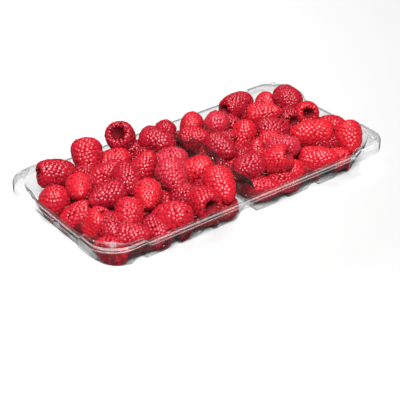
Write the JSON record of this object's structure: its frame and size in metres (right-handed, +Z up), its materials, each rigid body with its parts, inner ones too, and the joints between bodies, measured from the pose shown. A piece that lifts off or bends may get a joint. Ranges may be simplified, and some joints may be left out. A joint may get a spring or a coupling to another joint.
{
  "type": "punnet of raspberries",
  "caption": "Shallow clear plastic punnet with a rolled rim, raised corners and a hollow divider, holding a heap of fresh raspberries in each compartment.",
  "frame": {"origin": "middle of the tray's base, on the surface it stands on", "axes": "+X along the tray's length, +Y across it, +Z up; the picture is taken from the -X, -Y side"},
  "size_m": [0.202, 0.104, 0.0362],
  "materials": {
    "clear_plastic": "thermoformed clear sheet, glossy, with bright edges at its folds",
    "berry_flesh": "ripe raspberry drupelets, crimson to bright red, softly shining, with fine hairs"
  },
  "bodies": {
    "root": {"tray": "clear_plastic", "raspberries_left": "berry_flesh", "raspberries_right": "berry_flesh"}
  },
  "joints": []
}
